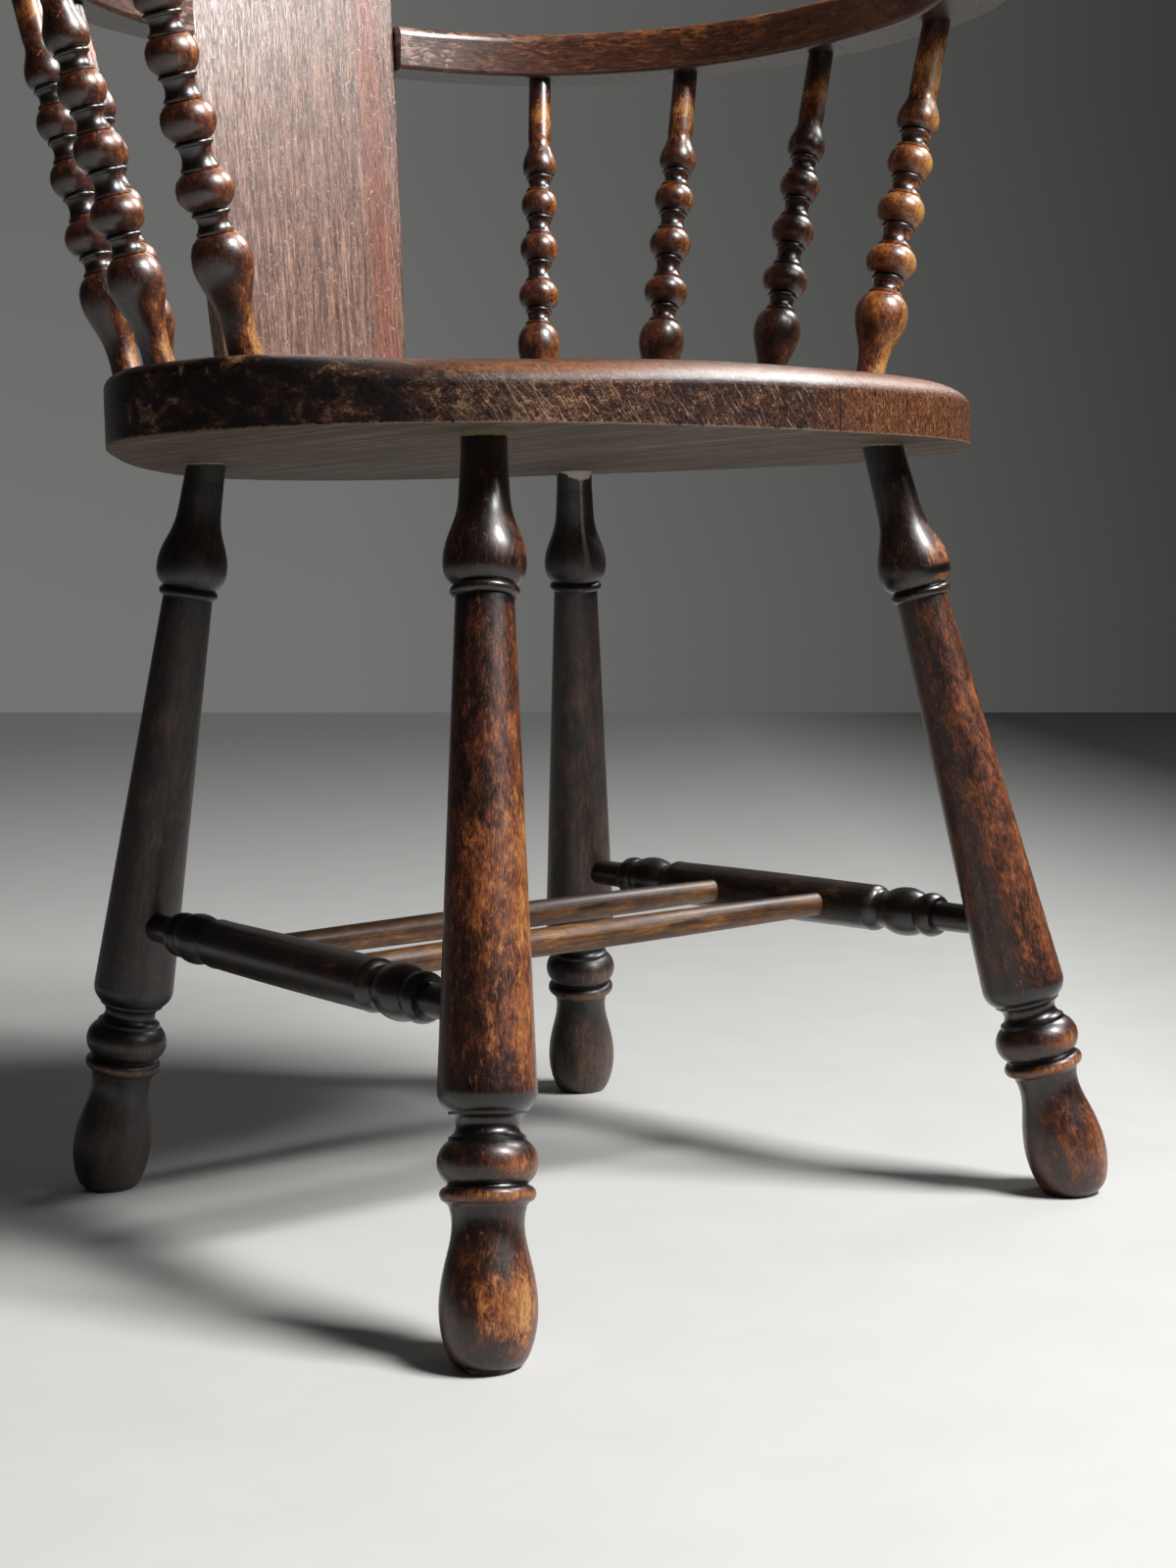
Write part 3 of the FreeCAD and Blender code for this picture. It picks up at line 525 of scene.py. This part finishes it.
# Stained oak with a satin polish: its grain follows the bow round, and its underside is darkened
# towards near black as painted shade.
arm_oak, shader, node = blank_finish("stained_oak_bow")
shader.inputs["Coat Weight"].default_value = 0.8
shader.inputs["Coat IOR"].default_value = 1.7
shader.inputs["Coat Roughness"].default_value = 0.36
place = node("TexCoord").node.outputs
x, y, z = node("SeparateXYZ", {0: place["Object"]}).node.outputs
angle_round = node("Math", {0: x, 1: y}, operation="ARCTAN2")
length_round = node("Math", {0: angle_round, 1: BOW_RADIUS}, operation="MULTIPLY")
reach = node("VectorMath", {0: place["Object"], 1: (1, 1, 0)}, operation="MULTIPLY")
reach = node("VectorMath", {0: reach}, operation="LENGTH")
bow = node("CombineXYZ", {0: reach, 1: length_round, 2: z})
texture = grain_layers(node, bow, (
    ("grain", (1.4, 40, 1.4), 4, 0.62, 0.4),
    ("patch", (12, 30, 9), 3, 0.62, 0.5),
    ("fleck", (3.0, 9.0, 2.4), 5, 0.62, 0.8)))
upward = node("SeparateXYZ", {0: place["Normal"]}).node.outputs["Z"]
wood_tone = node("Math", {0: texture["fleck"], 1: 0.5, 2: texture["grain"]}, operation="MULTIPLY_ADD")
wood = node("ValToRGB", {0: wood_tone}, stops=ARM_TONES)
worn = node("Math", {0: texture["patch"], 1: 0.8, 2: texture["fleck"]}, operation="MULTIPLY_ADD")
worn = node("Math", {0: upward, 1: 0.14, 2: worn}, operation="MULTIPLY_ADD")
rubbed = node("MapRange", {"Value": worn, "From Min": 0.95, "From Max": 1.12})
colour = node("Mix", {"Factor": rubbed, "A": wood, "B": "#8a5227"}, data_type="RGBA")
from_middle = node("Math", {0: x}, operation="ABSOLUTE")
beside_splat = node("MapRange", {"Value": from_middle, "From Min": NO_CHIPS_FROM, "From Max": MOST_CHIPS_TO,
                                 "To Max": 0.3})
at_the_back = node("MapRange", {"Value": y, "From Min": BACK_FROM, "From Max": ALL_BACK_FROM})
chip_reach = node("Math", {0: beside_splat, 1: at_the_back, 2: worn}, operation="MULTIPLY_ADD")
chips = node("MapRange", {"Value": chip_reach, "From Min": 1.2, "From Max": 1.27, "To Max": 0.8})
colour = node("Mix", {"Factor": chips, "A": colour, "B": "#b08a7c"}, data_type="RGBA")
# Faces that look down are darkened towards near black: painted shade.
below = node("MapRange", {"Value": upward, "From Min": -0.4, "From Max": -0.9, "To Max": 0.6})
colour = node("Mix", {"Factor": below, "A": colour, "B": "#1d1512"}, data_type="RGBA")
roughness = node("MapRange", {"Value": texture["fleck"], "From Min": 0.3, "From Max": 0.7,
                              "To Min": 0.24, "To Max": 0.42})
normal = node("Bump", {"Height": wood_tone, "Strength": 0.4, "Distance": 0.25 * MM})
connect(shader, base_color=colour, roughness=roughness, normal=normal)
for half in ("arm_left", "arm_right"):
    dress(half, arm_oak)

# Screws: four slotted wood screws through the back of the bow into the splat.
# Dull aged steel with brown rust specks, rougher where it has rusted.
RUST_SPECK = 1.2 * MM
screw_steel, shader, node = blank_finish("dull_aged_steel")
shader.inputs["Metallic"].default_value = 1.0
place = node("TexCoord").node.outputs
rust = node("TexNoise", {"Vector": place["Object"], "Scale": 1 / RUST_SPECK, "Detail": 4.0})
colour = node("ValToRGB", {0: rust}, stops=[(0.35, "#5a5148"), (0.55, "#7a7064"), (0.7, "#4a3222")])
roughness = node("MapRange", {"Value": rust, "To Min": 0.35, "To Max": 0.7})
normal = node("Bump", {"Height": rust, "Strength": 0.3, "Distance": 0.1 * MM})
connect(shader, base_color=colour, roughness=roughness, normal=normal)
dress("splat_screws", screw_steel)

# Studio: a pale painted floor, darkened towards the right by painted shade, that runs to a grey wall
# glowing with painted light, a soft lamp high at the front, two panels that show only in gloss, and a dim
# room. The camera stands low, in front of the left-hand legs, where the photograph was taken from.
FLOOR_SIZE = 30.0
FLOOR_MOTTLE_PER_METRE = 14.0
# The floor's colour is darkened towards the right by painted shade, between these distances in this
# direction.
PAINTED_SHADE_DIRECTION = (0.767, -0.641, 0)
PAINTED_SHADE_FROM = 0.4
ALL_PAINTED_SHADE_FROM = 1.1
bpy.ops.mesh.primitive_plane_add(size=FLOOR_SIZE)
floor = bpy.context.active_object
floor.name = "studio_floor"
floor_paint, shader, node = blank_finish("pale_painted_floor")
place = node("TexCoord").node.outputs
mottle = node("TexNoise", {"Vector": place["Object"], "Scale": FLOOR_MOTTLE_PER_METRE, "Detail": 6.0,
                           "Roughness": 0.65})
colour = node("ValToRGB", {0: mottle}, stops=[(0.3, "#dbdbd8"), (0.7, "#dfdfdc")])
toward_painted_shade = node("VectorMath", {0: place["Object"], 1: PAINTED_SHADE_DIRECTION}, operation="DOT_PRODUCT")
painted_floor_shade = node("MapRange", {"Value": toward_painted_shade, "From Min": PAINTED_SHADE_FROM, "From Max": ALL_PAINTED_SHADE_FROM,
                          "To Max": 0.93})
colour = node("Mix", {"Factor": painted_floor_shade, "A": colour, "B": "#3a3a39"}, data_type="RGBA")
roughness = node("MapRange", {"Value": mottle, "To Min": 0.5, "To Max": 0.62})
normal = node("Bump", {"Height": mottle, "Strength": 0.1, "Distance": 0.5 * MM})
connect(shader, base_color=colour, roughness=roughness, normal=normal)
floor.data.materials.append(floor_paint)

# The wall glows a little with painted light, brightest at its left and near the floor.
WALL_SIZE = 16.0
WALL_LEFT = Vector((2.43, 5.85, 0))
WALL_RIGHT = Vector((4.09, 2.47, 0))
WALL_GLOW = [(0.0, "#737372"), (0.35, "#70706f"), (0.7, "#5a5a59"), (1.0, "#3d3d3c")]
FADE_FROM_HEIGHT = 0.3
FADE_TO_HEIGHT = 1.6
wall_run = WALL_RIGHT - WALL_LEFT
wall_middle = WALL_LEFT.lerp(WALL_RIGHT, 0.5)
bpy.ops.mesh.primitive_plane_add(size=WALL_SIZE)
wall = bpy.context.active_object
wall.name = "studio_wall"
inward = wall_run.normalized().cross(Vector((0, 0, 1)))
wall.data.transform(Matrix.Translation(wall_middle) @ inward.to_track_quat("Z", "Y").to_matrix().to_4x4())
wall_painted_light, shader, node = blank_finish("wall_with_painted_glow")
shader.inputs["Base Color"].default_value = linear("#1c1c1c")
shader.inputs["Specular IOR Level"].default_value = 0.0
place = node("TexCoord").node.outputs
from_left = node("VectorMath", {0: place["Object"], 1: WALL_LEFT}, operation="SUBTRACT")
share_along = wall_run / wall_run.length_squared
along_wall = node("VectorMath", {0: from_left, 1: share_along}, operation="DOT_PRODUCT")
glow = node("ValToRGB", {0: along_wall}, stops=WALL_GLOW)
height = node("SeparateXYZ", {0: place["Object"]}).node.outputs["Z"]
fade = node("MapRange", {"Value": height, "From Min": FADE_FROM_HEIGHT, "From Max": FADE_TO_HEIGHT,
                         "To Min": 1.0, "To Max": 0.82})
connect(shader, emission_color=glow, emission_strength=fade)
wall.data.materials.append(wall_painted_light)

# Each lamp has a place and a width in metres, and a power in watts.
LAMP_AIM = Vector((0, 0, 0.4))
LAMPS = (
    ("soft_lamp", Vector((0.75, -1.85, 2.6)), 0.9, 142.0),
    ("front_panel", Vector((1.0, -1.85, 1.85)), 0.6, 16.0),
    ("side_panel", Vector((1.8, -0.1, 2.2)), 0.9, 60.0),
)
for lamp_name, stand, width, watts in LAMPS:
    bpy.ops.object.light_add(type="AREA", location=stand)
    lamp = bpy.context.active_object
    lamp.name = lamp_name
    lamp.rotation_euler = (LAMP_AIM - stand).to_track_quat("-Z", "Y").to_euler()
    lamp.data.shape = "SQUARE"
    lamp.data.size = width
    lamp.data.energy = watts
    lamp.visible_diffuse = lamp_name == "soft_lamp"

room = bpy.data.worlds.new("dim_room")
room.use_nodes = True
room_light = room.node_tree.nodes["Background"].inputs
room_light["Color"].default_value = linear("#5a5a59")
room_light["Strength"].default_value = 0.2
bpy.context.scene.world = room

CAMERA_PLACE = Vector((-0.7832, -0.9986, 0.3377))
CAMERA_YAW = radians(39.79)
CAMERA_PITCH = radians(-4.82)
CAMERA_ROLL = radians(-1.34)
IMAGE_HEIGHT = 1600
FOCAL_PIXELS = 2286.5
bpy.ops.object.camera_add(location=CAMERA_PLACE)
camera = bpy.context.active_object
camera.name = "photo_camera"
level = Euler((radians(90) + CAMERA_PITCH, 0, -CAMERA_YAW)).to_matrix()
camera.rotation_euler = (level @ Matrix.Rotation(CAMERA_ROLL, 3, "Z")).to_euler()
camera.data.sensor_width = 36.0
camera.data.lens = FOCAL_PIXELS * camera.data.sensor_width / IMAGE_HEIGHT
bpy.context.scene.camera = camera
bpy.context.scene.view_settings.view_transform = "Standard"
